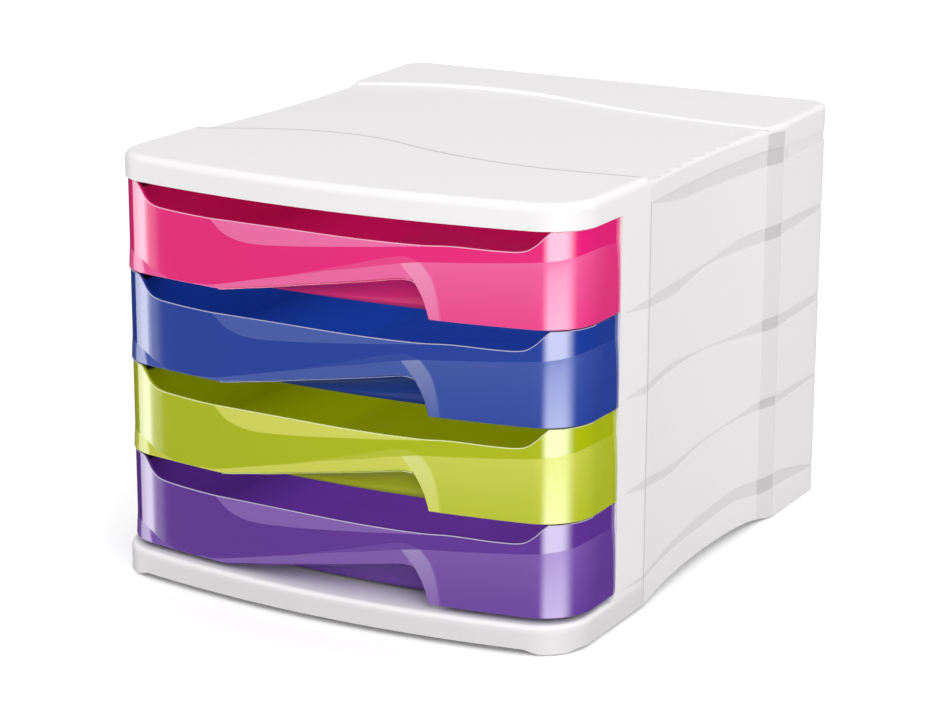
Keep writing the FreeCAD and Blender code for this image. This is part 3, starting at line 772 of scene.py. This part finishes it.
# Studio: a pale floor that keeps the tower's soft shadow, a large soft lamp at the front
# right, faint ones low in front and in each bay, and a white room. Glossy faces also see
# tall light panels below the horizon.
floor_half, floor_drop, floor_lift = 4, 0.2 * mm, 0.07
floor_mesh = bpy.data.meshes.new("studio_floor")
floor_corners = [(x * floor_half, y * floor_half, 0) for x, y in ((-1, -1), (1, -1), (1, 1), (-1, 1))]
floor_mesh.from_pydata(floor_corners, [], [(0, 1, 2, 3)])
floor = bpy.data.objects.new("studio_floor", floor_mesh)
floor.location.z = -floor_drop
bpy.context.scene.collection.objects.link(floor)
floor.visible_glossy = False
# White paper is matt, and its faint cloud of fibres hardly shows
paper, tree = new_material("white_paper_floor")
path = add(tree, "ShaderNodeLightPath")
grain = add(tree, "ShaderNodeTexNoise", {"Scale": 40.0, "Detail": 1.0})
tone = add(tree, "ShaderNodeMix", {
    "Factor": grain.outputs["Fac"], "A": linear("#FDFDFD"), "B": linear("#FFFFFF")}, data_type="RGBA")
matt = add(tree, "ShaderNodeBsdfDiffuse", {"Color": tone.outputs["Result"]})
lift = add(tree, "ShaderNodeEmission", {"Color": linear("#FFFFFF"), "Strength": floor_lift})
both = add(tree, "ShaderNodeAddShader", {0: matt.outputs["BSDF"], 1: lift.outputs["Emission"]})
# What the floor throws back onto the tower is less than what the camera sees of it
bounce = add(tree, "ShaderNodeBsdfDiffuse", {"Color": linear("#BABABA")})
seen = add(tree, "ShaderNodeMixShader", {
    "Fac": path.outputs["Is Camera Ray"], 1: bounce.outputs["BSDF"], 2: both.outputs["Shader"]})
add(tree, "ShaderNodeOutputMaterial", {"Surface": seen.outputs["Shader"]})
dress(floor, paper)


def area_lamp(name, width, depth, watts, place, aim):
    """A soft rectangular lamp in metres that glossy faces don't mirror."""
    data = bpy.data.lights.new(name, "AREA")
    data.shape = "RECTANGLE"
    data.size, data.size_y, data.energy = width, depth, watts
    lamp = bpy.data.objects.new(name, data)
    bpy.context.scene.collection.objects.link(lamp)
    lamp.location = place
    lamp.rotation_euler = (Vector(aim) - Vector(place)).to_track_quat("-Z", "Y").to_euler()
    lamp.visible_glossy = False
    return lamp


area_lamp("soft_lamp", 2.0, 2.0, 36.0, (2.2, -1.9, 1.6), (0, 0, 0.1))
area_lamp("low_front_lamp", 1.2, 0.3, 1.4, (0.3, -1.2, 0.02), (0, -0.15, 0.12))
# In the photo the drawers' insides are lit through the gaps, so each bay has a faint lamp
bay_width, bay_depth, bay_top = 0.24, 0.28, 0.2236
for i, watts in enumerate((0.09, 0.26, 0.12, 0.24)):
    place = (0, 0, bay_top - drawer_pitch * mm * i)
    bay = area_lamp("bay_lamp_%d" % (i + 1), bay_width, bay_depth, watts, place, (0, 0, 0))
    bay.visible_camera = False

world = bpy.data.worlds.new("studio_world")
bpy.context.scene.world = world
world.use_nodes = True
tree = world.node_tree
tree.nodes.clear()
smooth = {"interpolation_type": "SMOOTHSTEP"}
path = add(tree, "ShaderNodeLightPath")
generated = add(tree, "ShaderNodeTexCoord").outputs["Generated"]
facing = add(tree, "ShaderNodeSeparateXYZ", {"Vector": generated})
# Azimuth is 0 straight in front of the tower, and positive towards the right
flip = add(tree, "ShaderNodeMath", {0: facing.outputs["Y"], 1: -1.0}, operation="MULTIPLY")
azimuth = add(tree, "ShaderNodeMath", {
    0: facing.outputs["X"], 1: flip.outputs["Value"]}, operation="ARCTAN2").outputs["Value"]
# Below the horizon glossy faces see a floor darker than the room
ground = add(tree, "ShaderNodeMapRange", {
    "Value": facing.outputs["Z"], "From Min": -0.12, "From Max": 0.02,
    "To Min": 0.4, "To Max": 1.0}, **smooth)
# The rear half of the room is dim to them, so that the flanks' returns stay deep in colour
turned = add(tree, "ShaderNodeMath", {0: azimuth}, operation="ABSOLUTE")
rear_dim = add(tree, "ShaderNodeMapRange", {
    "Value": turned.outputs["Value"], "From Min": math.radians(85), "From Max": math.radians(105),
    "To Min": 1.0, "To Max": 0.15}, **smooth)
level = add(tree, "ShaderNodeMath", {
    0: ground.outputs["Result"], 1: rear_dim.outputs["Result"]}, operation="MULTIPLY").outputs["Value"]
# Each panel: from and to azimuth in degrees, softness of its two edges, and strength. The
# last three together are the left panel, which is brightest at its hard right edge.
light_panels = ((35.0, 62.0, 20.0, 32.0, 12.0), (-95.0, -57.2, 2.0, 0.3, 3.2),
                (-60.0, -57.2, 34.0, 0.3, 5.5), (-57.2, -55.6, 0.3, 0.4, 1.5))
below = add(tree, "ShaderNodeMapRange", {
    "Value": facing.outputs["Z"], "From Min": -0.14, "From Max": 0.0,
    "To Min": 1.0, "To Max": 0.0}, **smooth)
for start, end, soft_in, soft_out, strength in light_panels:
    rise = add(tree, "ShaderNodeMapRange", {
        "Value": azimuth, "From Min": math.radians(start - soft_in), "From Max": math.radians(start),
        "To Min": 0.0, "To Max": strength}, **smooth)
    fall = add(tree, "ShaderNodeMapRange", {
        "Value": azimuth, "From Min": math.radians(end), "From Max": math.radians(end + soft_out),
        "To Min": 1.0, "To Max": 0.0}, **smooth)
    panel = add(tree, "ShaderNodeMath", {
        0: rise.outputs["Result"], 1: fall.outputs["Result"]}, operation="MULTIPLY")
    panel = add(tree, "ShaderNodeMath", {
        0: panel.outputs["Value"], 1: below.outputs["Result"]}, operation="MULTIPLY")
    level = add(tree, "ShaderNodeMath", {
        0: level, 1: panel.outputs["Value"]}, operation="ADD").outputs["Value"]
room = add(tree, "ShaderNodeBackground", {"Color": linear("#FFFFFF"), "Strength": 1.04})
mirror = add(tree, "ShaderNodeBackground", {"Color": linear("#FFFFFF"), "Strength": level})
white = add(tree, "ShaderNodeBackground", {"Color": linear("#FFFFFF"), "Strength": 1.0})
lit = add(tree, "ShaderNodeMixShader", {
    "Fac": path.outputs["Is Glossy Ray"], 1: room.outputs["Background"], 2: mirror.outputs["Background"]})
# The camera sees plain white, and so does what light passes through
direct = add(tree, "ShaderNodeMath", {
    0: path.outputs["Is Camera Ray"], 1: path.outputs["Is Transmission Ray"]}, operation="MAXIMUM")
sky = add(tree, "ShaderNodeMixShader", {
    "Fac": direct.outputs["Value"], 1: lit.outputs["Shader"], 2: white.outputs["Background"]})
add(tree, "ShaderNodeOutputWorld", {"Surface": sky.outputs["Shader"]})

# Camera: a 106 mm lens 1.6 m away, to the right of the front and above it, as the
# photograph was taken, with the tower as large in the frame as it is there.
azimuth_deg, elevation_deg, roll_deg = 28.79, 15.66, 0.24
lens_length, sensor_width, camera_place = 106.48, 36.0, (759.88, -1384.31, 545.21)
a, e, c = [math.radians(v) for v in (azimuth_deg, elevation_deg, roll_deg)]
back = Vector((math.sin(a) * math.cos(e), -math.cos(a) * math.cos(e), math.sin(e)))
right = Vector((math.cos(a), math.sin(a), 0))
up = back.cross(right)
turned_right = math.cos(c) * right + math.sin(c) * up
turned_up = math.cos(c) * up - math.sin(c) * right
camera_data = bpy.data.cameras.new("camera")
camera_data.sensor_width = sensor_width
camera_data.lens = lens_length
camera = bpy.data.objects.new("camera", camera_data)
bpy.context.scene.collection.objects.link(camera)
camera.matrix_world = Matrix.Translation(Vector(camera_place) * mm) @ Matrix(
    (turned_right, turned_up, back)).transposed().to_4x4()
bpy.context.scene.camera = camera
bpy.context.scene.view_settings.view_transform = "Standard"
